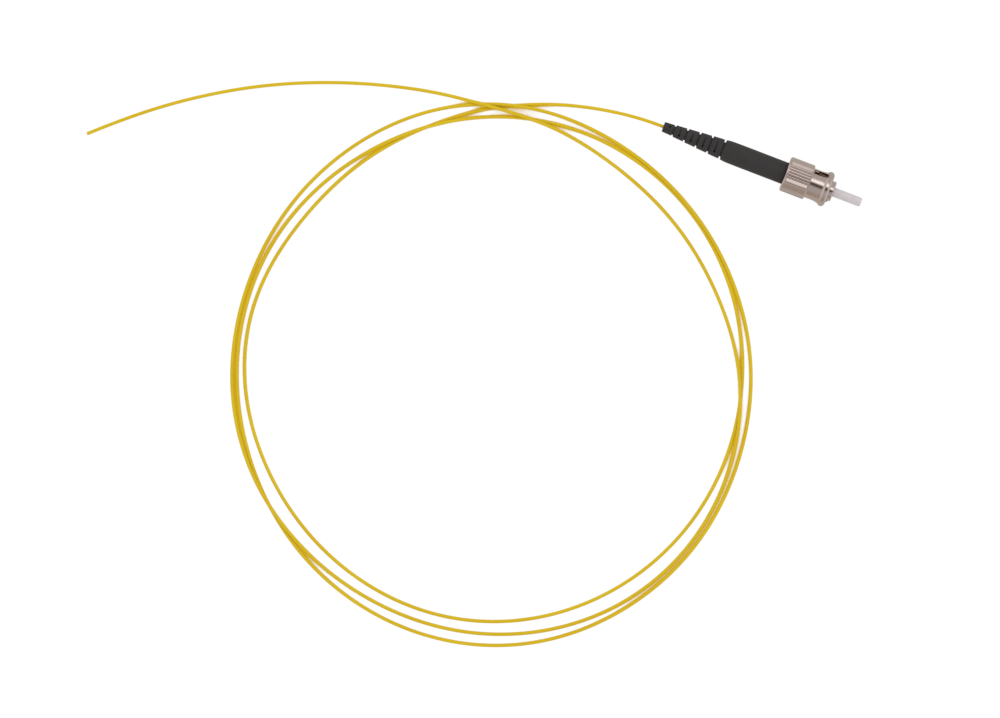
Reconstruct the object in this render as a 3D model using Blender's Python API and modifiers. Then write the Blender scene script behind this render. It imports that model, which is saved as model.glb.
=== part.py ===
# Fibre optic pigtail: a bayonet fibre connector with a 2.5 mm ceramic ferrule on
# about 1.4 m of 0.9 mm tight-buffered fibre, loosely coiled, with its far end bare.
#
# Metres, +Z up. The connector's axis is level along +X, which points out of the
# ferrule. The origin is under the middle of the connector, on the surface that its
# coupling nut rests on.

import bpy
import bmesh
import math
from mathutils import Matrix, Vector

MM = 0.001

# ---------------------------------------------------------------- driving sizes, mm
LENGTH = 56.3                   # half of it ahead of the boot's rear end is row X = 0
NUT_R = 4.85                    # coupling nut, which rests on z = 0
AXIS_Z = NUT_R                  # height of the connector's axis

FERRULE_R = 1.25
FERRULE_REAR, FERRULE_TIP = 43.6, 56.5
HUB_R, HUB_FRONT = 2.725, 48.6
SEAT_REAR, SEAT_FRONT, SEAT_R = 42.3, 43.3, 3.28
STEM_R, STEM_REAR = 2.1, 28.6
BUFFER_R, CORD_R = 0.62, 0.45

GRIP_REAR, GRIP_FRONT, GRIP_R = 34.8, 41.7, 4.85
NECK_R, NUT_FRONT = 4.10, 47.45
NUT_BORE_R = 3.6
COLLAR_REAR, COLLAR_FRONT, COLLAR_R = 36.2, 37.2, 2.2
RECESS_R = 3.3
FLUTES_PER_GROUP, FLUTE_GROUPS, FLUTE_PITCH_DEG, FLUTE_MID_DEG = 6, 3, 10.3, 13.5
SLOT_DEG, SLOT_WIDTH, SLOT_REAR, SLOT_FRONT = 54.5, 2.0, 41.95, 45.85
RAMP_OUT_R, RAMP_TURN_DEG = 3.85, 80.0

WASHER_REAR, WASHER_FRONT, WASHER_R = 37.5, 37.9, 3.3
SPRING_REAR, SPRING_FRONT = 38.2, 42.0
SPRING_R, SPRING_WIRE_R, SPRING_TURNS = 2.78, 0.22, 4
RING_REAR, RING_FRONT, RING_OUT_R, RING_IN_R = 35.3, 35.9, 2.75, 2.15

BOOT_FRONT = 35.0
BOOT_BORE_R, BOOT_SOCKET_REAR = 2.25, 28.3
BOOT_GROOVES = [3.05, 6.45, 9.90, 13.25, 16.85]
BOOT_SLITS = [4.75, 8.15, 11.60, 15.05]

COIL_CENTRE = (-47.1, -78.0)
COIL_IN_R, COIL_OUT_R, COIL_HEIGHT = 62.6, 72.6, 2.7
FLOOR_Z = 0.5                   # centre of a cord that lies on the surface

# ---------------------------------------------------------------- clean start
for ob in list(bpy.data.objects):
    bpy.data.objects.remove(ob, do_unlink=True)

parts = bpy.data.collections.new("fibre_optic_pigtail")
guides = bpy.data.collections.new("cutters")
bpy.context.scene.collection.children.link(parts)
bpy.context.scene.collection.children.link(guides)


def material(name, colour, roughness, metallic=0.0):
    mat = bpy.data.materials.new(name)
    mat.use_nodes = True
    shader = mat.node_tree.nodes["Principled BSDF"]
    shader.inputs["Base Color"].default_value = (*colour, 1.0)
    shader.inputs["Roughness"].default_value = roughness
    shader.inputs["Metallic"].default_value = metallic
    mat.diffuse_color = (*colour, 1.0)
    return mat


CERAMIC = material("white_ceramic", (0.78, 0.74, 0.76), 0.25)
NICKEL = material("nickel_plate", (0.62, 0.57, 0.54), 0.28, 1.0)
STEEL = material("spring_steel", (0.55, 0.55, 0.56), 0.35, 1.0)
BOOT = material("boot_rubber", (0.035, 0.032, 0.034), 0.6)
JACKET = material("yellow_jacket", (0.72, 0.50, 0.03), 0.4)


def at(station):
    """Row X, in metres, of a station measured in mm from the boot's rear end."""
    return (station - LENGTH / 2) * MM


def smooth(ob, angle=30.0):
    ob.data.shade_smooth()
    ob.data.set_sharp_from_angle(angle=math.radians(angle))


def turned(name, loop, mat, steps=48, coll=None, closed=True):
    """Solid of revolution about the connector's axis. The loop is (station, radius)
    in mm, from the front end to the rear along the outside, and back inside."""
    me = bpy.data.meshes.new(name)
    bm = bmesh.new()
    vs = [bm.verts.new((r * MM, 0.0, (s - LENGTH / 2) * MM)) for s, r in loop]
    for a, b in zip(vs, vs[1:] + ([vs[0]] if closed else [])):
        bm.edges.new((a, b))
    bm.to_mesh(me)
    bm.free()
    ob = bpy.data.objects.new(name, me)
    (coll or parts).objects.link(ob)
    me.materials.append(mat)
    screw = ob.modifiers.new("turn", 'SCREW')
    screw.axis = 'Z'
    screw.angle = math.tau
    screw.steps = screw.render_steps = steps
    screw.use_merge_vertices = True
    screw.merge_threshold = 0.000001
    screw.use_smooth_shade = True
    # the profile's +Z becomes row +X, and its +X becomes row +Z
    ob.matrix_world = Matrix.Translation((0, 0, AXIS_Z * MM)) @ Matrix((
        (0, 0, 1, 0), (0, 1, 0, 0), (-1, 0, 0, 0), (0, 0, 0, 1)))
    return ob


def hide(ob):
    ob.hide_render = True
    ob.display_type = 'WIRE'
    return ob


def cutter_mesh(name, bm):
    me = bpy.data.meshes.new(name)
    bm.to_mesh(me)
    bm.free()
    ob = bpy.data.objects.new(name, me)
    guides.objects.link(ob)
    return hide(ob)


def cut(ob, cutter):
    mod = ob.modifiers.new("cut_" + cutter.name, 'BOOLEAN')
    mod.operation = 'DIFFERENCE'
    mod.solver = 'EXACT'
    mod.object = cutter
    return ob


def round_about(angle_deg):
    """Turns +Z towards +Y by an angle, about the connector's axis."""
    return (Matrix.Translation((0, 0, AXIS_Z * MM))
            @ Matrix.Rotation(math.radians(-angle_deg), 4, 'X'))


def add_box(bm, size, centre, turn=Matrix.Identity(4)):
    made = bmesh.ops.create_cube(bm, size=1.0)["verts"]
    scale = Matrix.Diagonal((size[0] * MM, size[1] * MM, size[2] * MM, 1.0))
    move = Matrix.Translation(Vector(centre) * MM)
    bmesh.ops.transform(bm, matrix=turn @ move @ scale, verts=made)


def cardinal(points, spacing):
    """A smooth curve through the points, read at an even spacing."""
    pts = [Vector(p) for p in points]
    pts = [pts[0] * 2 - pts[1]] + pts + [pts[-1] * 2 - pts[-2]]
    fine = []
    for i in range(1, len(pts) - 2):
        p0, p1, p2, p3 = pts[i - 1:i + 3]
        for k in range(24):
            t = k / 24
            fine.append(0.5 * ((2 * p1) + (p2 - p0) * t
                               + (2 * p0 - 5 * p1 + 4 * p2 - p3) * t * t
                               + (3 * p1 - p0 - 3 * p2 + p3) * t ** 3))
    fine.append(pts[-2].copy())
    run = [0.0]
    for a, b in zip(fine, fine[1:]):
        run.append(run[-1] + (b - a).length)
    count = max(2, round(run[-1] / spacing))
    out, j = [], 0
    for k in range(count + 1):
        want = run[-1] * k / count
        while j < len(run) - 2 and run[j + 1] < want:
            j += 1
        t = (want - run[j]) / (run[j + 1] - run[j])
        out.append(fine[j].lerp(fine[j + 1], min(1.0, t)))
    return out


def tube(name, points_mm, radius, mat, resolution=2, coll=None):
    cu = bpy.data.curves.new(name, 'CURVE')
    cu.dimensions = '3D'
    cu.bevel_depth = radius * MM
    cu.bevel_resolution = resolution
    cu.use_fill_caps = True
    sp = cu.splines.new('POLY')
    sp.points.add(len(points_mm) - 1)
    for p, q in zip(sp.points, points_mm):
        p.co = (q[0] * MM, q[1] * MM, q[2] * MM, 1.0)
    ob = bpy.data.objects.new(name, cu)
    (coll or parts).objects.link(ob)
    cu.materials.append(mat)
    return ob


# ---------------------------------------------------------------- ferrule
turned("ferrule", [
    (FERRULE_TIP, 0.0), (FERRULE_TIP, FERRULE_R - 0.28), (FERRULE_TIP - 0.45, FERRULE_R),
    (FERRULE_REAR + 0.3, FERRULE_R), (FERRULE_REAR, FERRULE_R - 0.2), (FERRULE_REAR, 0.0),
], CERAMIC, steps=48, closed=False)

# ---------------------------------------------------------------- plug body
# hub in front, seat flange in the middle, crimp stem behind, bored right through
plug = turned("plug_body", [
    (HUB_FRONT, FERRULE_R + 0.06), (HUB_FRONT, HUB_R - 0.25), (HUB_FRONT - 0.25, HUB_R),
    (SEAT_FRONT, HUB_R), (SEAT_FRONT, SEAT_R), (SEAT_REAR, SEAT_R), (SEAT_REAR, STEM_R),
    (STEM_REAR + 0.3, STEM_R), (STEM_REAR, STEM_R - 0.3), (STEM_REAR, BUFFER_R),
    (FERRULE_REAR - 0.3, BUFFER_R), (FERRULE_REAR - 0.3, FERRULE_R + 0.06),
], NICKEL, steps=48)
bm = bmesh.new()                # locating key, on the hub's -Y side
add_box(bm, (2.0, 0.95, 1.05), (47.0 - LENGTH / 2, 0, HUB_R), round_about(-90))
key = cutter_mesh("hub_key", bm)
mod = plug.modifiers.new("key", 'BOOLEAN')
mod.operation = 'UNION'
mod.solver = 'EXACT'
mod.object = key

# ---------------------------------------------------------------- coupling nut
flare = [(NUT_FRONT, 3.97), (47.28, 4.34), (47.03, 4.64), (46.68, 4.80), (46.3, NUT_R)]
for k in range(1, 6):           # concave flare from the flange down to the neck
    a = math.radians(90 * k / 6)
    flare.append((46.3 - 2.25 * math.sin(a), NECK_R + (NUT_R - NECK_R) * (1 - math.sin(a)) ** 2))
nut = turned("coupling_nut", flare + [
    (44.0, NECK_R), (GRIP_FRONT + 0.12, NECK_R), (GRIP_FRONT, NECK_R + 0.12),
    (GRIP_FRONT, GRIP_R - 0.25), (GRIP_FRONT - 0.25, GRIP_R),
    (GRIP_REAR + 0.7, GRIP_R), (GRIP_REAR + 0.2, GRIP_R - 0.22), (GRIP_REAR, GRIP_R - 0.6),
    (GRIP_REAR, RECESS_R), (COLLAR_REAR, RECESS_R), (COLLAR_REAR, COLLAR_R),
    (COLLAR_FRONT, COLLAR_R), (COLLAR_FRONT, NUT_BORE_R), (NUT_FRONT, NUT_BORE_R),
], NICKEL, steps=64)

bm = bmesh.new()                # flutes of the grip, in groups with plain panels between
for g in range(FLUTE_GROUPS):
    for k in range(FLUTES_PER_GROUP):
        deg = (FLUTE_MID_DEG + g * 360 / FLUTE_GROUPS
               + (k - (FLUTES_PER_GROUP - 1) / 2) * FLUTE_PITCH_DEG)
        turn = (round_about(deg)
                @ Matrix.Translation(((GRIP_REAR + GRIP_FRONT - LENGTH) / 2 * MM, 0,
                                      (GRIP_R + 0.08) * MM))
                @ Matrix.Rotation(math.pi / 2, 4, 'Y'))
        bmesh.ops.create_cone(bm, cap_ends=True, segments=6, radius1=0.32 * MM,
                              radius2=0.32 * MM, depth=5.9 * MM, matrix=turn)
cut(nut, cutter_mesh("flute_cutter", bm))

bm = bmesh.new()                # windows for the two lugs of a socket
for deg in (SLOT_DEG, SLOT_DEG + 180):
    add_box(bm, (SLOT_FRONT - SLOT_REAR, SLOT_WIDTH, 2.2),
            ((SLOT_FRONT + SLOT_REAR - LENGTH) / 2, 0, 4.1), round_about(deg))
cut(nut, cutter_mesh("lug_window_cutter", bm))
bm = bmesh.new()                # keyways inside the flange, through which the lugs enter
for deg in (SLOT_DEG, SLOT_DEG + 180):
    add_box(bm, (2.6, 1.5, 0.9), (46.6 - LENGTH / 2, 0, 3.5), round_about(deg))
cut(nut, cutter_mesh("lug_keyway_cutter", bm))

for n, start in enumerate((SLOT_DEG, SLOT_DEG + 180)):
    ramp = []                   # helical ramps inside the neck, back from the windows
    for k in range(11):
        a = math.radians(start + RAMP_TURN_DEG * k / 10)
        s = 43.6 - 0.9 * k / 10
        r = RAMP_OUT_R - 0.5
        ramp.append((s - LENGTH / 2, r * math.sin(a), AXIS_Z + r * math.cos(a)))
    wire = tube("ramp_path_%d" % n, ramp, 0.5, NICKEL, 1, guides)
    bpy.context.view_layer.update()
    graph = bpy.context.evaluated_depsgraph_get()
    me = bpy.data.meshes.new_from_object(wire.evaluated_get(graph))
    bm = bmesh.new()
    bm.from_mesh(me)
    bmesh.ops.remove_doubles(bm, verts=bm.verts, dist=0.00001)
    bmesh.ops.recalc_face_normals(bm, faces=bm.faces)
    ramp_cutter = cutter_mesh("ramp_cutter_%d" % n, bm)
    ramp_cutter.matrix_world = wire.matrix_world
    bpy.data.objects.remove(wire, do_unlink=True)
    cut(nut, ramp_cutter)

# ---------------------------------------------------------------- spring, washer, ring
turned("thrust_washer", [
    (WASHER_FRONT, STEM_R + 0.1), (WASHER_FRONT, WASHER_R),
    (WASHER_REAR, WASHER_R), (WASHER_REAR, STEM_R + 0.1),
], STEEL, steps=32)

coil = []
steps = SPRING_TURNS * 14
for k in range(steps + 1):
    t = k / steps
    ends = 0.5 - 0.5 * math.cos(math.pi * t)        # closer turns at both ends
    lift = 0.25 * ends + 0.75 * t
    a = math.tau * SPRING_TURNS * t
    s = SPRING_REAR + SPRING_WIRE_R + (SPRING_FRONT - SPRING_REAR - 2 * SPRING_WIRE_R) * lift
    coil.append((s - LENGTH / 2, SPRING_R * math.sin(a), AXIS_Z + SPRING_R * math.cos(a)))
tube("compression_spring", coil, SPRING_WIRE_R, STEEL, 1)

ring = turned("retaining_ring", [
    (RING_FRONT, RING_IN_R), (RING_FRONT, RING_OUT_R),
    (RING_REAR, RING_OUT_R), (RING_REAR, RING_IN_R),
], STEEL, steps=32)
bm = bmesh.new()
add_box(bm, (2.0, 1.3, 2.0), ((RING_REAR + RING_FRONT - LENGTH) / 2, 0, -RING_OUT_R),
        round_about(0))
cut(ring, cutter_mesh("ring_gap_cutter", bm))

# ---------------------------------------------------------------- strain relief boot
boot = turned("strain_relief_boot", [
    (BOOT_FRONT, 2.98), (17.6, 2.88), (17.25, 2.77), (16.9, 2.70), (13.25, 2.46),
    (9.9, 2.18), (6.45, 1.89), (3.05, 1.58), (0.35, 1.40), (0.0, 1.26),
    (0.0, BUFFER_R), (BOOT_SOCKET_REAR, BUFFER_R), (BOOT_SOCKET_REAR, BOOT_BORE_R),
    (BOOT_FRONT, BOOT_BORE_R),
], BOOT, steps=32)


def boot_radius(s):
    return 1.40 + (2.70 - 1.40) * min(1.0, s / 16.9)


bm = bmesh.new()                # notches in the two sides, which let the boot bend
for s in BOOT_GROOVES:
    keep = boot_radius(s) - (0.32 if s < 4 else 0.52)
    for side in (-1, 1):
        add_box(bm, (0.5, 2.6, 8.0), (s - LENGTH / 2, side * (keep + 1.3), 0), round_about(0))
cut(boot, cutter_mesh("side_notch_cutter", bm))
bm = bmesh.new()                # slits above and below, between the notches
for s in BOOT_SLITS:
    r = boot_radius(s)
    for side in (-1, 1):
        add_box(bm, (0.5, 1.2 * r, 2.6), (s - LENGTH / 2, 0, side * (0.6 * r + 1.3)),
                round_about(0))
for side in (-1, 1):            # holes near the end, in which the cord's edge shows
    add_box(bm, (0.45, 0.70, 2.6), (1.7 - LENGTH / 2, 0.46, side * 1.35), round_about(0))
cut(boot, cutter_mesh("slit_cutter", bm))

# ---------------------------------------------------------------- cord
# straight out of the boot, then down to the surface and round to the coil
lead = cardinal([
    (-28.45, 0.0, AXIS_Z), (-31.5, -0.05, 4.77), (-35.0, -0.25, 4.3), (-40.2, -0.8, 3.12),
    (-45.6, -1.7, 1.75), (-50.8, -2.9, 0.85), (-54.7, -3.95, 0.55), (-58.9, -5.3, FLOOR_Z),
], 2.2)
tube("cord_lead", lead, CORD_R, JACKET)

# the coil's outer shape, with its turns as ridges on its upper side
ridges = 4
profile = []
for k in range(ridges):
    mid = COIL_OUT_R - (k + 0.5) * (COIL_OUT_R - COIL_IN_R) / ridges
    half = 0.5 * (COIL_OUT_R - COIL_IN_R) / ridges
    profile += [(mid + half * 0.92, COIL_HEIGHT - 0.9), (mid + half * 0.5, COIL_HEIGHT - 0.15),
                (mid, COIL_HEIGHT), (mid - half * 0.5, COIL_HEIGHT - 0.15)]
profile += [(COIL_IN_R, COIL_HEIGHT - 0.9), (COIL_IN_R, 0.4), (COIL_IN_R + 0.4, 0.0),
            (COIL_OUT_R - 0.4, 0.0), (COIL_OUT_R, 0.4)]
me = bpy.data.meshes.new("cord_coil")
bm = bmesh.new()
vs = [bm.verts.new((r * MM, 0.0, z * MM)) for r, z in reversed(profile)]
for a, b in zip(vs, vs[1:] + vs[:1]):
    bm.edges.new((a, b))
bm.to_mesh(me)
bm.free()
coil_ob = bpy.data.objects.new("cord_coil", me)
parts.objects.link(coil_ob)
me.materials.append(JACKET)
coil_ob.location = (COIL_CENTRE[0] * MM, COIL_CENTRE[1] * MM, 0.0)
screw = coil_ob.modifiers.new("turn", 'SCREW')
screw.axis = 'Z'
screw.steps = screw.render_steps = 72
screw.use_merge_vertices = True
screw.merge_threshold = 0.000001
screw.use_smooth_shade = True

# from the coil to the bare end, in one long loose curve
tail = cardinal([
    (-80.6, -12.2, 1.5), (-86.9, -13.0, 1.15), (-92.2, -14.0, 0.85), (-97.5, -15.3, 0.62),
    (-102.7, -16.6, FLOOR_Z), (-112.9, -19.9, FLOOR_Z), (-122.8, -23.8, FLOOR_Z),
    (-132.4, -28.4, FLOOR_Z), (-141.8, -33.8, FLOOR_Z), (-150.9, -39.9, FLOOR_Z),
    (-159.7, -46.7, FLOOR_Z), (-166.1, -52.3, FLOOR_Z), (-171.0, -56.8, FLOOR_Z),
], 2.5)
tube("cord_tail", tail, CORD_R, JACKET)

for ob in parts.objects:
    if ob.type == 'MESH':
        smooth(ob)
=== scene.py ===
# Fibre optic pigtail: looks. Metres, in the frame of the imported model.
# +X runs along the connector, out of its ferrule; the coil lies on the -Y side.

import bpy
import bmesh
import math
import numpy as np
from mathutils import Matrix, Vector


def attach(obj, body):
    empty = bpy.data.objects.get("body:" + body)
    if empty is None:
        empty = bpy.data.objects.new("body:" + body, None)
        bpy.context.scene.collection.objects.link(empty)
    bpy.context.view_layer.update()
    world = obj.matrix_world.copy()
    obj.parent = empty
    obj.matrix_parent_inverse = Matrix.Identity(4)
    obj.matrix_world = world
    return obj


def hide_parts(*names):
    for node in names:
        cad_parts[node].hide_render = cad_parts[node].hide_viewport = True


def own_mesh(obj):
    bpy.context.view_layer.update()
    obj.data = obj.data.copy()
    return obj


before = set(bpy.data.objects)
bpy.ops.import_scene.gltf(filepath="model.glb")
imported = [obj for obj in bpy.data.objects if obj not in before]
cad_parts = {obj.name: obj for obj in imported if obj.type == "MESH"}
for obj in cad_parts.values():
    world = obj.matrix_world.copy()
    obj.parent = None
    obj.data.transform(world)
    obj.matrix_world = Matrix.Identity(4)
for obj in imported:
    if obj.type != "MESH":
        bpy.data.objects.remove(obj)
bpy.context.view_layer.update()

MM = 0.001
LENGTH = 56.3                   # mm; half of it ahead of the boot's rear end is X = 0
AXIS_Z = 4.85                   # height of the connector's axis, mm
CORD_D = 0.9
scene = bpy.context.scene

# ================================================================ camera
# Straight down, with a long lens, and turned so that the connector points down to
# the right by 21 degrees.
ROLL = math.radians(21.0)
FRAME_W = 266.67                # mm across the picture, 3 mm above the floor
DISTANCE = 4.0                  # m
cam_data = bpy.data.cameras.new("camera")
cam_data.sensor_fit = 'HORIZONTAL'
cam_data.sensor_width = 36.0
cam_data.lens = 36.0 * DISTANCE / (FRAME_W * MM)
cam_data.clip_start = 0.01
cam_data.clip_end = 20.0
cam = bpy.data.objects.new("camera", cam_data)
scene.collection.objects.link(cam)
cam.location = (-46.58 * MM, -73.41 * MM, DISTANCE + 0.003)
cam.rotation_euler = (0.0, 0.0, ROLL)
scene.camera = cam
scene.view_settings.view_transform = 'Standard'
scene.view_settings.look = 'None'


# ================================================================ materials
def nodes_of(name):
    mat = bpy.data.materials.new(name)
    mat.use_nodes = True
    nt = mat.node_tree
    return mat, nt, nt.nodes["Principled BSDF"]


def node(nt, kind, **inputs):
    n = nt.nodes.new(kind)
    for key, value in inputs.items():
        if key in n.inputs:
            n.inputs[key].default_value = value
        else:
            setattr(n, key, value)
    return n


def noise(nt, vector, scale, detail=3.0, rough=0.55):
    n = nt.nodes.new("ShaderNodeTexNoise")
    n.inputs["Scale"].default_value = scale
    n.inputs["Detail"].default_value = detail
    n.inputs["Roughness"].default_value = rough
    nt.links.new(vector, n.inputs["Vector"])
    return n.outputs["Fac"]


def stretched(nt, vector, scale):
    m = nt.nodes.new("ShaderNodeMapping")
    m.inputs["Scale"].default_value = scale
    nt.links.new(vector, m.inputs["Vector"])
    return m.outputs["Vector"]


def ramp(nt, fac, stops):
    r = nt.nodes.new("ShaderNodeValToRGB")
    el = r.color_ramp.elements
    while len(el) < len(stops):
        el.new(0.5)
    for e, (pos, col) in zip(el, stops):
        e.position = pos
        e.color = (*col, 1.0) if len(col) == 3 else col
    nt.links.new(fac, r.inputs["Fac"])
    return r.outputs["Color"]


def remap(nt, fac, lo, hi, a=0.0, b=1.0):
    m = nt.nodes.new("ShaderNodeMapRange")
    m.inputs["From Min"].default_value = a
    m.inputs["From Max"].default_value = b
    m.inputs["To Min"].default_value = lo
    m.inputs["To Max"].default_value = hi
    nt.links.new(fac, m.inputs["Value"])
    return m.outputs["Result"]


def bump(nt, height, strength, distance, normal=None):
    b = nt.nodes.new("ShaderNodeBump")
    b.inputs["Strength"].default_value = strength
    b.inputs["Distance"].default_value = distance
    nt.links.new(height, b.inputs["Height"])
    if normal is not None:
        nt.links.new(normal, b.inputs["Normal"])
    return b.outputs["Normal"]


def object_coords(nt):
    return nt.nodes.new("ShaderNodeTexCoord").outputs["Object"]


def make_jacket():
    mat, nt, p = nodes_of("yellow_jacket")
    co = object_coords(nt)
    # slow drift of the pigment along the cord, and fine mottling
    slow = noise(nt, co, 55.0, 2.0)
    col = ramp(nt, slow, [(0.30, (0.690, 0.465, 0.0080)), (0.50, (0.712, 0.495, 0.0095)),
                          (0.72, (0.725, 0.518, 0.0115))])
    fine = noise(nt, co, 2600.0, 3.0)
    mix = node(nt, "ShaderNodeMix", data_type='RGBA', blend_type='MULTIPLY')
    mix.inputs["Factor"].default_value = 0.35
    nt.links.new(col, mix.inputs["A"])
    nt.links.new(ramp(nt, fine, [(0.3, (0.90, 0.89, 0.84)), (0.7, (1.0, 1.0, 1.0))]),
                 mix.inputs["B"])
    nt.links.new(mix.outputs["Result"], p.inputs["Base Color"])
    nt.links.new(remap(nt, noise(nt, co, 700.0, 2.0), 0.36, 0.50), p.inputs["Roughness"])
    p.inputs["Specular IOR Level"].default_value = 0.16
    # extrusion grain: very fine, and a slow unevenness in the wall
    n1 = bump(nt, noise(nt, co, 5200.0, 3.0), 0.25, 0.000010)
    n2 = bump(nt, noise(nt, co, 420.0, 1.0), 0.30, 0.00002, n1)
    nt.links.new(n2, p.inputs["Normal"])
    return mat


def make_nickel(name="nickel_plate", colour=(0.66, 0.56, 0.52), rough=(0.10, 0.17),
                rings=0.07):
    mat, nt, p = nodes_of(name)
    co = object_coords(nt)
    p.inputs["Metallic"].default_value = 1.0
    c = Vector(colour)
    patch = noise(nt, co, 420.0, 3.0)
    col = ramp(nt, patch, [(0.32, tuple(c * 0.96)), (0.5, tuple(c)),
                           (0.70, (c.x * 1.03, c.y * 1.02, c.z * 1.01))])
    nt.links.new(col, p.inputs["Base Color"])
    # turning marks run round the axis, with a few handling scratches over them
    turning = noise(nt, stretched(nt, co, (1.0, 0.03, 0.03)), 9000.0, 2.0)
    scratch = noise(nt, stretched(nt, co, (0.12, 1.0, 1.0)), 5200.0, 2.0)
    rr = nt.nodes.new("ShaderNodeMath")
    rr.operation = 'MULTIPLY_ADD'
    nt.links.new(scratch, rr.inputs[0])
    rr.inputs[1].default_value = 0.5
    nt.links.new(remap(nt, noise(nt, co, 1500.0, 3.0), -0.1, 0.6), rr.inputs[2])
    nt.links.new(remap(nt, rr.outputs[0], rough[0], rough[1], 0.1, 0.7),
                 p.inputs["Roughness"])
    n1 = bump(nt, turning, rings, 0.000006)
    n2 = bump(nt, noise(nt, co, 1900.0, 2.0), 0.06, 0.000008, n1)
    nt.links.new(n2, p.inputs["Normal"])
    return mat


def make_ceramic():
    mat, nt, p = nodes_of("white_ceramic")
    co = object_coords(nt)
    col = ramp(nt, noise(nt, co, 900.0, 2.0), [(0.3, (0.615, 0.565, 0.580)),
                                              (0.7, (0.655, 0.605, 0.620))])
    nt.links.new(col, p.inputs["Base Color"])
    p.inputs["Subsurface Weight"].default_value = 0.25
    p.inputs["Subsurface Radius"].default_value = (1.0, 0.8, 0.8)
    p.inputs["Subsurface Scale"].default_value = 0.0006
    p.inputs["IOR"].default_value = 1.8
    # centreless grinding marks run round the ferrule
    grind = noise(nt, stretched(nt, co, (1.0, 0.02, 0.02)), 12000.0, 2.0)
    nt.links.new(remap(nt, grind, 0.20, 0.30), p.inputs["Roughness"])
    nt.links.new(bump(nt, grind, 0.12, 0.000003), p.inputs["Normal"])
    return mat


def make_boot():
    mat, nt, p = nodes_of("boot_rubber")
    co = object_coords(nt)
    big = noise(nt, co, 260.0, 3.0)
    col = ramp(nt, big, [(0.3, (0.032, 0.0275, 0.0285)), (0.7, (0.038, 0.033, 0.034))])
    # painted highlight: sharp edges, found by pointiness, are made a little lighter
    geo = nt.nodes.new("ShaderNodeNewGeometry")
    edge = ramp(nt, geo.outputs["Pointiness"], [(0.50, (0.0, 0.0, 0.0)),
                                                (0.60, (1.0, 1.0, 1.0))])
    mix = node(nt, "ShaderNodeMix", data_type='RGBA')
    scale = nt.nodes.new("ShaderNodeMath")
    scale.operation = 'MULTIPLY'
    nt.links.new(edge, scale.inputs[0])
    scale.inputs[1].default_value = 0.30
    nt.links.new(scale.outputs[0], mix.inputs["Factor"])
    nt.links.new(col, mix.inputs["A"])
    mix.inputs["B"].default_value = (0.055, 0.050, 0.052, 1.0)
    nt.links.new(mix.outputs["Result"], p.inputs["Base Color"])
    nt.links.new(remap(nt, noise(nt, co, 1800.0, 3.0), 0.55, 0.72), p.inputs["Roughness"])
    p.inputs["Specular IOR Level"].default_value = 0.30
    n1 = bump(nt, noise(nt, co, 7000.0, 3.0, 0.7), 0.4, 0.000015)
    n2 = bump(nt, noise(nt, co, 800.0, 2.0), 0.25, 0.00002, n1)
    nt.links.new(n2, p.inputs["Normal"])
    return mat


def make_steel():
    mat, nt, p = nodes_of("spring_steel")
    co = object_coords(nt)
    p.inputs["Metallic"].default_value = 1.0
    nt.links.new(ramp(nt, noise(nt, co, 900.0, 2.0), [(0.3, (0.50, 0.50, 0.51)),
                                                     (0.7, (0.58, 0.58, 0.58))]),
                 p.inputs["Base Color"])
    draw = noise(nt, stretched(nt, co, (1.0, 0.1, 0.1)), 6000.0, 2.0)
    nt.links.new(remap(nt, draw, 0.25, 0.42), p.inputs["Roughness"])
    nt.links.new(bump(nt, draw, 0.2, 0.000005), p.inputs["Normal"])
    return mat


def make_glass_core():
    mat, nt, p = nodes_of("glass_fibre")
    co = object_coords(nt)
    nt.links.new(ramp(nt, noise(nt, co, 9000.0, 1.0), [(0.3, (0.70, 0.76, 0.80)),
                                                      (0.7, (0.82, 0.87, 0.90))]),
                 p.inputs["Base Color"])
    p.inputs["Roughness"].default_value = 0.06
    p.inputs["IOR"].default_value = 1.46
    return mat


JACKET = make_jacket()
NICKEL = make_nickel()
HUB_NICKEL = make_nickel("nickel_hub", (0.66, 0.56, 0.54), (0.09, 0.15), 0.09)
CERAMIC = make_ceramic()
BOOT = make_boot()
STEEL = make_steel()
GLASS = make_glass_core()


# ================================================================ helpers
def new_object(name, verts, faces, mat, sharp=32.0):
    me = bpy.data.meshes.new(name)
    me.from_pydata([tuple(v) for v in verts], [], faces)
    me.update()
    me.materials.append(mat)
    ob = bpy.data.objects.new(name, me)
    scene.collection.objects.link(ob)
    me.shade_smooth()
    me.set_sharp_from_angle(angle=math.radians(sharp))
    return ob


def axial(station, radius, angle):
    """Point on the connector, in m: station in mm from the boot's rear end, and an
    angle that turns from straight up towards +Y."""
    return ((station - LENGTH / 2) * MM, radius * math.sin(angle) * MM,
            (AXIS_Z + radius * math.cos(angle)) * MM)


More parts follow.
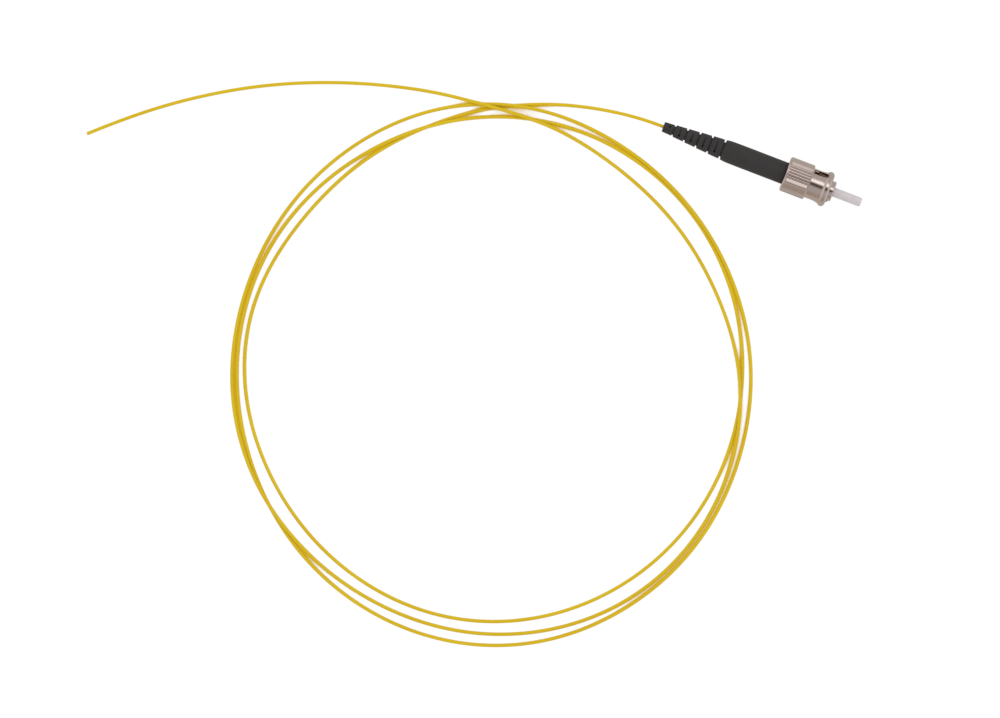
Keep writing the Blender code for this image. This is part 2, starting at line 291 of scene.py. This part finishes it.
def lathe(name, rows, mat, steps=128, radius=None, closed=True, sharp=32.0, angles=None):
    """Closed solid of revolution. rows are (station, radius) from the front, back
    along the outside, and forward again inside. radius(s, r, angle) may change the
    outer rows' radius round the axis. Open ends on the axis are closed to a point.
    angles may give uneven steps round the axis."""
    if angles is None:
        angles = [math.tau * k / steps for k in range(steps)]
    steps = len(angles)
    verts, faces, rings = [], [], []
    for s, r in rows:
        if r <= 1e-9:
            rings.append([len(verts)])
            verts.append(axial(s, 0.0, 0.0))
            continue
        ring = []
        for a in angles:
            ring.append(len(verts))
            verts.append(axial(s, radius(s, r, a) if radius else r, a))
        rings.append(ring)
    pairs = list(zip(rings, rings[1:])) + ([(rings[-1], rings[0])] if closed else [])
    for a, b in pairs:
        for k in range(steps):
            j = (k + 1) % steps
            if len(a) == 1 and len(b) == 1:
                break
            if len(a) == 1:
                faces.append((a[0], b[k], b[j]))
            elif len(b) == 1:
                faces.append((a[k], b[0], a[j]))
            else:
                faces.append((a[k], b[k], b[j], a[j]))
    ob = new_object(name, verts, faces, mat, sharp)
    bm = bmesh.new()
    bm.from_mesh(ob.data)
    bmesh.ops.recalc_face_normals(bm, faces=bm.faces)
    bm.to_mesh(ob.data)
    bm.free()
    ob.data.shade_smooth()
    ob.data.set_sharp_from_angle(angle=math.radians(sharp))
    return ob


def rounded(points, radius, steps=4):
    """A profile with each inner corner rounded to about a radius, in mm. A point may
    carry its own radius as a third number."""
    out = [points[0][:2]]
    for a, b, c in zip(points, points[1:], points[2:]):
        r = b[2] if len(b) > 2 else radius
        va, vb, vc = (Vector(p[:2]) for p in (a, b, c))
        d1, d2 = (va - vb), (vc - vb)
        cut = min(r, 0.45 * d1.length, 0.45 * d2.length)
        if cut < 0.004 or d1.normalized().dot(d2.normalized()) < -0.995:
            out.append(tuple(vb))
            continue
        p0, p2 = vb + d1.normalized() * cut, vb + d2.normalized() * cut
        for k in range(steps + 1):
            t = k / steps
            out.append(tuple(p0 * (1 - t) ** 2 + vb * 2 * t * (1 - t) + p2 * t * t))
    out.append(points[-1][:2])
    return out


def box_cutter(name, size, centre, angle, round_mm=0.12):
    """A rounded box at (station, across, out), turned about the axis."""
    me = bpy.data.meshes.new(name)
    bm = bmesh.new()
    bmesh.ops.create_cube(bm, size=1.0)
    bmesh.ops.transform(bm, matrix=Matrix.Diagonal((size[0] * MM, size[1] * MM,
                                                    size[2] * MM, 1.0)), verts=bm.verts)
    if round_mm:
        bmesh.ops.bevel(bm, geom=bm.edges[:], offset=round_mm * MM, segments=3,
                        affect='EDGES', profile=0.5)
    turn = (Matrix.Translation((0, 0, AXIS_Z * MM)) @ Matrix.Rotation(-angle, 4, 'X')
            @ Matrix.Translation(((centre[0] - LENGTH / 2) * MM, centre[1] * MM,
                                  centre[2] * MM)))
    bmesh.ops.transform(bm, matrix=turn, verts=bm.verts)
    bm.to_mesh(me)
    bm.free()
    ob = bpy.data.objects.new(name, me)
    scene.collection.objects.link(ob)
    return ob


def boolean(ob, cutters, operation='DIFFERENCE', sharp=32.0):
    """Cuts with each cutter and keeps the result as the object's mesh."""
    for c in cutters:
        mod = ob.modifiers.new("cut", 'BOOLEAN')
        mod.operation = operation
        mod.solver = 'EXACT'
        mod.object = c
    bpy.context.view_layer.update()
    graph = bpy.context.evaluated_depsgraph_get()
    me = bpy.data.meshes.new_from_object(ob.evaluated_get(graph))
    ob.modifiers.clear()
    old = ob.data
    ob.data = me
    me.name = old.name
    bpy.data.meshes.remove(old)
    for c in cutters:
        bpy.data.objects.remove(c, do_unlink=True)
    keep = ob.data.materials[0]
    ob.data.materials.clear()
    ob.data.materials.append(keep)
    for poly in ob.data.polygons:
        poly.material_index = 0
    ob.data.shade_smooth()
    ob.data.set_sharp_from_angle(angle=math.radians(sharp))
    return ob


def smoothstep(x, a, b):
    t = min(1.0, max(0.0, (x - a) / (b - a)))
    return t * t * (3 - 2 * t)


# ================================================================ the cord's route
# In mm. It leaves the boot, comes down to the floor, goes round three times, and
# ends in a long free tail. The turns are radii about the coil's centre, one for
# each 20 degrees.
CENTRE = (-47.1, -78.0)
LEAD = [(-22.5, 0.0, AXIS_Z), (-25.5, 0.0, AXIS_Z), (-28.45, 0.0, AXIS_Z),
        (-31.5, -0.05, 4.77), (-35.0, -0.25, 4.3), (-40.2, -0.8, 3.12),
        (-45.6, -1.7, 1.75), (-50.8, -2.9, 0.85), (-54.7, -3.95, 0.55),
        (-58.9, -5.3, 0.5)]
JOIN = [(-62.2, -6.7), (-65.9, -8.3), (-69.5, -10.05), (-72.6, -11.7),
        (-75.4, -13.3), (-78.8, -15.75)]
TURNS = [69.1, 66.5, 65.3, 66.0, 66.0, 65.1, 64.8, 65.2, 65.8, 66.0, 66.0, 66.1, 66.3,
         66.8, 67.6, 68.4,
         68.8, 68.9, 68.4, 68.0, 68.1, 68.2, 68.1, 68.4, 69.6, 70.9, 72.0, 72.4, 71.8,
         70.9, 69.7, 69.1, 68.8, 69.0,
         70.0, 71.6, 72.2, 71.3, 70.2, 69.4, 69.4, 69.3, 68.6, 68.3, 68.9, 69.7, 70.1,
         69.5, 68.0, 65.9, 63.6, 63.2, 64.6]
TURNS_START, TURNS_STEP = 121.0, 20.0
TAIL = [(-57.8, -10.7), (-62.1, -10.6), (-67.7, -11.0), (-71.9, -11.3),
        (-76.0, -11.7), (-80.6, -12.2), (-86.9, -13.0), (-92.2, -14.0),
        (-97.5, -15.3), (-102.7, -16.6), (-112.9, -19.9), (-122.8, -23.8),
        (-132.4, -28.4), (-141.8, -33.8), (-150.9, -39.9), (-159.7, -46.7),
        (-166.1, -52.3), (-171.0, -56.8)]


def third_difference(n):
    d = np.zeros((n - 3, n))
    for k, w in enumerate((-1.0, 3.0, -3.0, 1.0)):
        d[np.arange(n - 3), np.arange(n - 3) + k] = w
    return d


def second_difference(n):
    d = np.zeros((n - 2, n))
    for k, w in enumerate((1.0, -2.0, 1.0)):
        d[np.arange(n - 2), np.arange(n - 2) + k] = w
    return d


def cord_plan():
    """The route seen from above, about 1 mm apart, with its curvature as even as the
    points allow."""
    pts = [p[:2] for p in LEAD] + JOIN
    for k, r in enumerate(TURNS):
        a = math.radians(TURNS_START + TURNS_STEP * k)
        pts.append((CENTRE[0] + r * math.cos(a), CENTRE[1] + r * math.sin(a)))
    pts = np.array(pts + TAIL)
    chord = np.linalg.norm(np.diff(pts, axis=0), axis=1)
    # arc length between points about a mean radius, a little longer than the chord
    run = np.concatenate([[0.0], np.cumsum(chord * (1 + (chord / 68.0) ** 2 / 24))])
    n = int(round(run[-1])) + 1
    s = np.linspace(0.0, run[-1], n)
    h = s[1] - s[0]
    hit = np.zeros((len(pts), n))
    for k, x in enumerate(run):
        i = min(int(x / h), n - 2)
        t = x / h - i
        hit[k, i], hit[k, i + 1] = 1 - t, t
    weight = np.full(len(pts), 2.0e-3)
    weight[:3] = 1.0            # the boot holds the cord on its own axis
    weight[-1] = 1.0
    d3 = third_difference(n) / h ** 3
    lhs = h * d3.T @ d3 + hit.T @ (weight[:, None] * hit)
    return np.linalg.solve(lhs, hit.T @ (weight[:, None] * pts))


def even(points, step):
    seg = np.linalg.norm(np.diff(points, axis=0), axis=1)
    run = np.concatenate([[0.0], np.cumsum(seg)])
    n = int(round(run[-1] / step)) + 1
    s = np.linspace(0.0, run[-1], n)
    return np.stack([np.interp(s, run, points[:, k])
                     for k in range(points.shape[1])], 1), s


def settle(plan):
    """Heights at which the cord comes to rest: each later pass lies over the earlier
    ones, and the cord's stiffness makes the humps long and low. The contacts are
    found by a penalised Newton iteration, which gives the same result each run."""
    line, s = even(plan, 1.0)
    fine, sf = even(plan, 0.25)
    n, h = len(line), s[1] - s[0]
    rows, need = [], []
    for i in range(0, len(fine), 2):
        away = np.hypot(fine[i + 40:, 0] - fine[i, 0], fine[i + 40:, 1] - fine[i, 1])
        near = np.where(away < CORD_D)[0]
        if len(near) == 0:
            continue
        for group in np.split(near, np.where(np.diff(near) > 40)[0] + 1):
            j = group[away[group].argmin()]
            row = np.zeros(n)
            for x, sign in ((sf[i + 40 + j], 1.0), (sf[i], -1.0)):
                k = min(int(x / h), n - 2)
                t = x / h - k
                row[k] += sign * (1 - t)
                row[k + 1] += sign * t
            rows.append(row)
            need.append(math.sqrt(max(CORD_D ** 2 - away[j] ** 2, 0.0)))
    over, need = np.array(rows), np.array(need)
    lead = np.array(LEAD)
    run = np.concatenate([[0.0], np.cumsum(np.linalg.norm(np.diff(lead[:, :2], axis=0),
                                                          axis=1))])
    held = s < run[-1] - 18.0
    held_z = np.interp(s, run, lead[:, 2])
    d2 = second_difference(n) / h ** 2
    bend = 6000.0 * h * d2.T @ d2 + 1e-9 * np.eye(n)
    floor = CORD_D / 2
    z = np.where(held, held_z, floor)
    last = None
    for _ in range(60):
        on_floor = (z < floor + 1e-9) & ~held
        touching = over @ z < need - 1e-9
        lhs, rhs = bend.copy(), np.full(n, -h)
        i = np.where(on_floor)[0]
        lhs[i, i] += 2e4
        rhs[i] += 2e4 * floor
        i = np.where(held)[0]
        lhs[i, i] += 1e4
        rhs[i] += 1e4 * held_z[i]
        m = over[touching]
        lhs += 2e4 * m.T @ m
        rhs += 2e4 * m.T @ need[touching]
        z = np.linalg.solve(lhs, rhs)
        state = (on_floor.tobytes(), touching.tobytes())
        if state == last:
            break
        last = state
    return np.column_stack([line, np.maximum(z, floor - 0.002)])


def sweep(name, path, radius, mat, sides=20, about_axis=False):
    """Round tube along a path, in mm, with frames that don't twist and flat ends. The
    frames keep upright, or face away from the connector's axis."""
    path = np.array(path)
    tangent = np.gradient(path, axis=0)
    tangent /= np.linalg.norm(tangent, axis=1)[:, None]
    verts, faces = [], []
    for p, t in zip(path, tangent):
        up = (np.array([0.0, p[1], p[2] - AXIS_Z]) if about_axis
              else np.array([0.0, 0.0, 1.0]))
        side = np.cross(up, t)
        side /= np.linalg.norm(side)
        top = np.cross(t, side)
        for k in range(sides):
            a = math.tau * k / sides
            verts.append((p + radius * (math.cos(a) * side + math.sin(a) * top)) * MM)
    n = len(path)
    for i in range(n - 1):
        for k in range(sides):
            j = (k + 1) % sides
            faces.append((i * sides + k, i * sides + j, (i + 1) * sides + j,
                          (i + 1) * sides + k))
    faces.append(tuple(range(sides - 1, -1, -1)))
    faces.append(tuple((n - 1) * sides + k for k in range(sides)))
    return new_object(name, verts, faces, mat, 40.0)


route = settle(cord_plan())
cord = sweep("fibre_cord", route, CORD_D / 2, JACKET)

# the cut end: glass fibre in its coating, flush with the jacket
end, back = route[-1], route[-3]
out = (end - back) / np.linalg.norm(end - back)
core = sweep("fibre_core_end", np.array([end + out * 0.002, end + out * 0.03]), 0.125,
             GLASS, 16)
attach(cord, "plug")
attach(core, "plug")
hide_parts("cord_lead", "cord_coil", "cord_tail")

# ================================================================ ferrule
TIP, FERRULE_REAR = 56.5, 43.6
dome = [(TIP - 0.02 * (k / 6) ** 2, 0.90 * k / 6) for k in range(7)]
ferrule = lathe("ferrule_ceramic", dome + rounded(
    [(TIP - 0.02, 0.90), (TIP - 0.06, 1.0, 0.04), (TIP - 0.42, 1.25, 0.16),
     (FERRULE_REAR + 0.3, 1.25, 0.1), (FERRULE_REAR, 1.05), (FERRULE_REAR, 0.0)],
    0.03, 6), CERAMIC, 128, closed=False, sharp=50.0)
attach(ferrule, "plug")
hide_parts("ferrule")

core_tip = lathe("ferrule_fibre_tip", [(TIP + 0.004, 0.0), (TIP + 0.004, 0.0625),
                                       (TIP + 0.0005, 0.0625), (TIP + 0.0005, 0.0)],
                 GLASS, 24, closed=False)
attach(core_tip, "plug")

# ================================================================ plug body
hub = lathe("plug_hub", rounded([
    (47.0, 1.31), (48.53, 1.31, 0.03), (48.6, 1.40, 0.04), (48.6, 2.48, 0.12),
    (48.36, 2.725, 0.10), (43.3, 2.725, 0.03),
    (43.3, 3.28, 0.06), (42.3, 3.28, 0.06), (42.3, 2.1, 0.03), (28.9, 2.1, 0.05),
    (28.6, 1.8, 0.05), (28.6, 0.62), (43.3, 0.62), (43.3, 1.31), (47.0, 1.31)], 0.03),
    HUB_NICKEL, 128, closed=True)
key = box_cutter("hub_key", (2.0, 0.95, 1.05), (47.0, 0, 2.725), math.radians(-90), 0.44)
boolean(hub, [key], 'UNION')
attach(hub, "plug")
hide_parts("plug_body")

# ================================================================ coupling nut
GRIP_R, NECK_R, FLANGE_R, BORE_R = 4.85, 4.10, 4.85, 3.6
GROUPS = [13.5, 133.5, 253.5]           # middles of the grip's fluted groups, degrees
PITCH = 10.3                            # between flutes, degrees
FLAT_END, FLAT_TILT = 38.8, 5.95        # the flat beside each group, degrees


def flute_depth(phi):
    """Depth of the grip below its plain panels, in mm, at an angle from a group's
    middle: six narrow valleys between rounded ribs, and a sloping flat on each side."""
    phi = abs(phi)
    off = abs((phi / PITCH) % 1.0 - 0.5) * PITCH    # from the nearest valley
    flat = GRIP_R * (1 - math.cos(math.radians(FLAT_END - FLAT_TILT))
                     / math.cos(math.radians(phi - FLAT_TILT)))
    flat = 0.5 * (flat + math.sqrt(flat * flat + 0.05 ** 2))
    valley = 0.17 * max(0.0, 1.0 - off / 2.0)
    if phi < 2.5 * PITCH:
        return 0.07 + 0.14 * max(0.0, 1.0 - off / (0.5 * PITCH)) ** 2 + valley
    return max(flat, 0.38 - 0.1 * (phi - 2.5 * PITCH))


def fluted(s, r, a):
    if r < NECK_R + 0.1 or s > 41.72 or s < 34.7:
        return r
    deg = math.degrees(a)
    phi = min(((deg - g + 180.0) % 360.0 - 180.0 for g in GROUPS), key=abs)
    if abs(phi) > 48.0:
        return r
    return r - flute_depth(phi) * smoothstep(s, 35.25, 35.65)


grip_angles = set()
for g in GROUPS:
    for k in range(-48, 49):            # steps fall on every valley
        grip_angles.add(round((g + k * PITCH / 12) % 360.0, 4))
    for k in range(1, 20):
        grip_angles.add(round((g + 60.0 + (k - 10) * 1.86) % 360.0, 4))
grip_angles = [math.radians(d) for d in sorted(grip_angles)]

flare = [(46.2, 4.83), (46.05, 4.755), (45.92, 4.65), (45.75, 4.52), (45.55, 4.405),
         (45.3, 4.31), (45.0, 4.23), (44.6, 4.16), (44.2, 4.12)]
grip = [(41.3 - (41.3 - 35.75) * k / 16, GRIP_R) for k in range(17)]
grip += [(35.65 - 0.4 * k / 6, GRIP_R) for k in range(7)]
outer = rounded([
    (47.45, BORE_R + 0.05), (47.44, 3.99, 0.12), (47.28, 4.35, 0.12), (47.03, 4.65, 0.12),
    (46.68, 4.80, 0.15), (46.35, FLANGE_R, 0.12)] + flare + [
    (43.9, NECK_R, 0.1), (41.86, NECK_R, 0.10), (41.7, NECK_R + 0.14, 0.06),
    (41.7, GRIP_R - 0.24, 0.12), (41.46, GRIP_R, 0.12)] + grip + [
    (35.0, GRIP_R - 0.16, 0.12), (34.84, GRIP_R - 0.42, 0.12), (34.8, 4.05),
    (34.8, 3.38, 0.03)], 0.06, 3)
inner = [(34.86, 3.3), (36.2, 3.3), (36.2, 2.2), (37.2, 2.2), (37.2, BORE_R),
         (41.5, BORE_R), (47.35, BORE_R), (47.41, BORE_R + 0.02)]
nut = lathe("bayonet_nut", outer + inner, NICKEL, radius=fluted, sharp=38.0,
            angles=grip_angles)

cutters = []
for deg in (54.5, 234.5):
    a0 = math.radians(deg)
    cutters.append(box_cutter("lug_window", (3.9, 1.95, 2.2), (43.9, 0, 4.1), a0, 0.12))
    cutters.append(box_cutter("window_edge", (4.3, 2.35, 1.0), (43.9, 0, 4.5), a0, 0.45))
    cutters.append(box_cutter("lug_keyway", (2.6, 1.5, 0.9), (46.6, 0, 3.5), a0, 0.06))
    path = []
    for k in range(25):
        a = a0 + math.radians(80 * k / 24)
        s = 43.6 - 0.9 * k / 24
        path.append([s - LENGTH / 2, 3.35 * math.sin(a), AXIS_Z + 3.35 * math.cos(a)])
    cutters.append(sweep("lug_ramp", path, 0.5, NICKEL, 16, True))
boolean(nut, cutters, sharp=38.0)
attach(nut, "nut")
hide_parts("coupling_nut")

# ================================================================ strain relief boot
GROOVES = [3.05, 6.48, 9.92, 13.35, 16.90]
# station, half width and floor's radius of each slit across the top and the bottom
SLITS = [(4.75, 1.05, 1.35), (8.15, 1.25, 1.60), (11.60, 1.45, 1.85), (15.05, 1.6, 2.10)]


def boot_outline(s):
    """Outer radius of the boot without its notches: stepped segments behind a long
    plain sleeve."""
    if s > 17.25:
        return 2.99 - 0.21 * math.exp(-(s - 17.25) / 1.0)
    steps = [(0.0, 1.38, 1.54), (3.05, 1.64, 1.88), (6.48, 1.92, 2.16),
             (9.92, 2.22, 2.44), (13.35, 2.50, 2.73), (16.9, 2.74, 2.78)]
    ends = [3.05, 6.48, 9.92, 13.35, 16.9, 17.25]
    for (start, r0, r1), end in zip(steps, ends):
        if s <= end:
            return r0 + (r1 - r0) * (s - start) / (end - start)
    return 2.78


def groove_at(s):
    best = min(GROOVES, key=lambda g: abs(g - s))
    return best, abs(best - s)


def boot_radius(s, r, a):
    if r < 1.2 or s > 18.0:
        return r
    g, d = groove_at(s)
    if d > 0.46:
        return r
    # deepest at the two sides
    side = abs(math.sin(a)) ** 4
    depth = 0.28 + 0.08 * side if g < 4 else 0.44 + (0.10 if g < 15 else 0.30) * side
    return r - depth * (1.0 - smoothstep(d, 0.12, 0.32))


stations = set()
for g in GROOVES:
    for d in (0.0, 0.10, 0.14, 0.18, 0.22, 0.26, 0.30, 0.33, 0.36, 0.42):
        stations.add(round(g - d, 3))
        stations.add(round(g + d, 3))
for k in range(0, 36):
    s = 0.35 + (17.4 - 0.35) * k / 35
    if min(abs(s - g) for g in GROOVES) > 0.5:
        stations.add(round(s, 3))
for k in range(0, 30):
    stations.add(round(17.5 + (34.8 - 17.5) * (k / 29) ** 1.6, 3))
profile = [(35.0, 2.28), (35.0, 2.84), (34.96, 2.90), (34.88, 2.93)]
profile += [(s, boot_outline(s)) for s in sorted(stations, reverse=True)]
profile += [(0.22, 1.36), (0.10, 1.32), (0.02, 1.24), (0.0, 1.14), (0.0, 0.52),
            (0.04, 0.47), (0.8, 0.46), (2.0, 0.46), (3.0, 0.47), (28.3, 0.62),
            (28.3, 2.2), (33.0, 2.25)]
boot = lathe("boot_sleeve", profile, BOOT, 160, radius=boot_radius, sharp=50.0)


def slit_cutter(name, station, width, half, core, side):
    """Cuts across one side (+1 top, -1 bottom) down to a round core, with a pocket at
    its -Y end that goes deeper."""
    foot = half - 0.5
    deep = math.sqrt(core ** 2 - foot ** 2) - 0.6
    edge = [(-half, 4.0), (-half, deep), (-foot, deep)]
    for k in range(17):
        y = -foot + (foot + half - 0.1) * k / 16
        rise = 0.45 * max(0.0, y / half) ** 2       # the slit runs out at its +Y end
        edge.append((y, math.sqrt((core + rise) ** 2 - y ** 2)))
    edge += [(half, edge[-1][1] + 0.12), (half, 4.0)]
    n = len(edge)
    verts = [((station - LENGTH / 2 + dx) * MM, y * MM, (AXIS_Z + side * z) * MM)
             for dx in (-width / 2, width / 2) for y, z in edge]
    faces = [(k, (k + 1) % n, n + (k + 1) % n, n + k) for k in range(n)]
    faces += [tuple(range(n - 1, -1, -1)), tuple(range(n, 2 * n))]
    ob = new_object(name, verts, faces, BOOT)
    bm = bmesh.new()
    bm.from_mesh(ob.data)
    bmesh.ops.recalc_face_normals(bm, faces=bm.faces)
    bm.to_mesh(ob.data)
    bm.free()
    return ob


cutters = []
for s, half, core_r in SLITS:
    for side in (1, -1):
        cutters.append(slit_cutter("slit", s, 0.5, half, core_r, side))
for angle in (0.0, math.pi):    # holes near the end, in which the cord's edge shows
    across = 0.46 if angle == 0.0 else -0.46
    cutters.append(box_cutter("window", (0.45, 0.70, 2.6), (1.7, across, 1.35), angle, 0.05))
boolean(boot, cutters, sharp=50.0)
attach(boot, "plug")
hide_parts("strain_relief_boot")

# ================================================================ inside the nut
for name in ("thrust_washer", "retaining_ring"):
    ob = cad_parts[name]
    for k in range(len(ob.material_slots)):
        ob.material_slots[k].material = STEEL

SPRING_REAR, SPRING_FRONT, WIRE_R, TURNS_N = 38.2, 42.0, 0.22, 4
wire = []
for k in range(TURNS_N * 40 + 1):
    t = k / (TURNS_N * 40)
    lift = 0.25 * (0.5 - 0.5 * math.cos(math.pi * t)) + 0.75 * t
    a = math.tau * TURNS_N * t
    s = SPRING_REAR + WIRE_R + (SPRING_FRONT - SPRING_REAR - 2 * WIRE_R) * lift
    wire.append([s - LENGTH / 2, 2.78 * math.sin(a), AXIS_Z + 2.78 * math.cos(a)])


spring = sweep("spring_wire", wire, WIRE_R, STEEL, 12, True)
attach(spring, "plug")
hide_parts("compression_spring")
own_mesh(spring)

# ================================================================ floor and light
floor_me = bpy.data.meshes.new("floor")
floor_me.from_pydata([(-3, -3, 0), (3, -3, 0), (3, 3, 0), (-3, 3, 0)], [],
                     [(0, 1, 2, 3)])
floor = bpy.data.objects.new("floor", floor_me)
scene.collection.objects.link(floor)
floor.location = (0, 0, -0.00002)
fmat, fnt, fp = nodes_of("floor_pale")
fco = object_coords(fnt)
fnt.links.new(ramp(fnt, noise(fnt, fco, 3.0, 2.0), [(0.3, (0.10, 0.10, 0.10)),
                                                   (0.7, (0.12, 0.12, 0.12))]),
              fp.inputs["Base Color"])
fp.inputs["Roughness"].default_value = 0.9
fp.inputs["Specular IOR Level"].default_value = 0.1
# an evenly lit light table, on which hardly any shadow shows
fp.inputs["Emission Color"].default_value = (1.0, 1.0, 1.0, 1.0)
fp.inputs["Emission Strength"].default_value = 0.93
# but in the narrow gaps between the coil's strands, found by ambient occlusion near the
# coil, it glows in the cord's yellow: painted shade with painted bounce light from the cord
painted_gap_shade = fnt.nodes.new("ShaderNodeEmission")
painted_gap_shade.inputs["Color"].default_value = (0.62, 0.375, 0.008, 1.0)
gap = fnt.nodes.new("ShaderNodeAmbientOcclusion")
gap.samples = 16
gap.inputs["Distance"].default_value = 0.0025
open_share = fnt.nodes.new("ShaderNodeMapRange")
open_share.interpolation_type = 'SMOOTHSTEP'
open_share.inputs["From Min"].default_value = 0.46
open_share.inputs["From Max"].default_value = 0.55
fnt.links.new(gap.outputs["AO"], open_share.inputs["Value"])
coil_middle = fnt.nodes.new("ShaderNodeVectorMath")
coil_middle.operation = 'DISTANCE'
fnt.links.new(fco, coil_middle.inputs[0])
coil_middle.inputs[1].default_value = (CENTRE[0] * MM, CENTRE[1] * MM, 0.0)
off_coil = remap(fnt, coil_middle.outputs["Value"], 0.0, 1.0, 0.0765, 0.0775)
either = fnt.nodes.new("ShaderNodeMath")
either.operation = 'MAXIMUM'
fnt.links.new(open_share.outputs["Result"], either.inputs[0])
fnt.links.new(off_coil, either.inputs[1])
surface = fnt.nodes.new("ShaderNodeMixShader")
fnt.links.new(either.outputs[0], surface.inputs["Fac"])
fnt.links.new(painted_gap_shade.outputs[0], surface.inputs[1])
fnt.links.new(fp.outputs[0], surface.inputs[2])
fnt.links.new(surface.outputs[0], fnt.nodes["Material Output"].inputs["Surface"])
floor_me.materials.append(fmat)
floor.visible_glossy = False
cord.visible_glossy = False     # keeps the cord's colour out of the nickel

# Studio surround, as the metal mirrors it: one long bright panel beside the zenith on
# the +Y side, a dark gap straight above, and an even warm grey all round. It is lighter
# towards the connector's two ends. Everything matt sees an even white.
world = bpy.data.worlds.new("studio")
scene.world = world
world.use_nodes = True
wnt = world.node_tree
bg = wnt.nodes["Background"]
wco = wnt.nodes.new("ShaderNodeTexCoord").outputs["Generated"]
sep = wnt.nodes.new("ShaderNodeSeparateXYZ")
wnt.links.new(wco, sep.inputs[0])
at2 = wnt.nodes.new("ShaderNodeMath")
at2.operation = 'ARCTAN2'
wnt.links.new(sep.outputs["Y"], at2.inputs[0])
wnt.links.new(sep.outputs["Z"], at2.inputs[1])
beta = remap(wnt, at2.outputs[0], 0.0, 1.0, -math.pi, math.pi)


def beta_stop(deg):
    return (deg + 180.0) / 360.0


PEAK = 1.6
SKY = [(-105, (0.57, 0.545, 0.50)), (-92, (0.46, 0.395, 0.35)),
       (-66, (0.46, 0.395, 0.35)), (-56, (0.51, 0.50, 0.50)), (-22, (0.51, 0.50, 0.50)),
       (-14, (0.36, 0.34, 0.35)), (-8.5, (0.10, 0.078, 0.065)),
       (7.5, (0.10, 0.078, 0.065)), (12, (0.60, 0.58, 0.56)), (18, (1.30, 1.32, 1.30)),
       (23, (1.50, 1.53, 1.51)), (31, (1.44, 1.47, 1.46)), (37.5, (0.97, 0.97, 0.95)),
       (45, (0.575, 0.55, 0.555)), (75, (0.555, 0.53, 0.537)), (105, (0.57, 0.545, 0.50))]
sky = ramp(wnt, beta, [(beta_stop(deg), tuple(c / PEAK for c in colour))
                       for deg, colour in SKY])
ends = wnt.nodes.new("ShaderNodeMix")
ends.data_type = 'RGBA'
length = wnt.nodes.new("ShaderNodeMath")
length.operation = 'ABSOLUTE'
wnt.links.new(sep.outputs["X"], length.inputs[0])
towards_ends = wnt.nodes.new("ShaderNodeMapRange")
towards_ends.interpolation_type = 'SMOOTHSTEP'
towards_ends.inputs["From Min"].default_value = 0.60
towards_ends.inputs["From Max"].default_value = 0.86
wnt.links.new(length.outputs[0], towards_ends.inputs["Value"])
wnt.links.new(towards_ends.outputs["Result"], ends.inputs["Factor"])
wnt.links.new(sky, ends.inputs["A"])
ends.inputs["B"].default_value = (0.72 / PEAK, 0.70 / PEAK, 0.68 / PEAK, 1.0)
wnt.links.new(ends.outputs["Result"], bg.inputs["Color"])
bg.inputs["Strength"].default_value = PEAK
fill = wnt.nodes.new("ShaderNodeBackground")
fill.inputs["Color"].default_value = (0.88, 0.88, 0.88, 1.0)
plain = wnt.nodes.new("ShaderNodeBackground")
plain.inputs["Color"].default_value = (0.97, 0.97, 0.97, 1.0)
seen = wnt.nodes.new("ShaderNodeLightPath")
mirrored = wnt.nodes.new("ShaderNodeMixShader")
wnt.links.new(seen.outputs["Is Glossy Ray"], mirrored.inputs["Fac"])
wnt.links.new(fill.outputs[0], mirrored.inputs[1])
wnt.links.new(bg.outputs[0], mirrored.inputs[2])
pick = wnt.nodes.new("ShaderNodeMixShader")
wnt.links.new(seen.outputs["Is Camera Ray"], pick.inputs["Fac"])
wnt.links.new(mirrored.outputs[0], pick.inputs[1])
wnt.links.new(plain.outputs[0], pick.inputs[2])
wnt.links.new(pick.outputs[0], wnt.nodes["World Output"].inputs["Surface"])


def area(name, place, aim, size, power, colour=(1, 1, 1)):
    data = bpy.data.lights.new(name, 'AREA')
    data.shape = 'RECTANGLE'
    data.size, data.size_y = size
    data.energy = power
    data.color = colour
    ob = bpy.data.objects.new(name, data)
    scene.collection.objects.link(ob)
    ob.location = place
    ob.rotation_euler = (Vector(aim) - Vector(place)).to_track_quat('-Z', 'Y').to_euler()
    ob.visible_camera = False
    ob.visible_glossy = False
    return ob


area("key_panel", (-0.05, 0.42, 1.05), (-0.05, -0.07, 0.0), (1.6, 0.5), 2.2,
     (1.0, 0.99, 0.98))

# ================================================================ finish
bpy.context.view_layer.update()
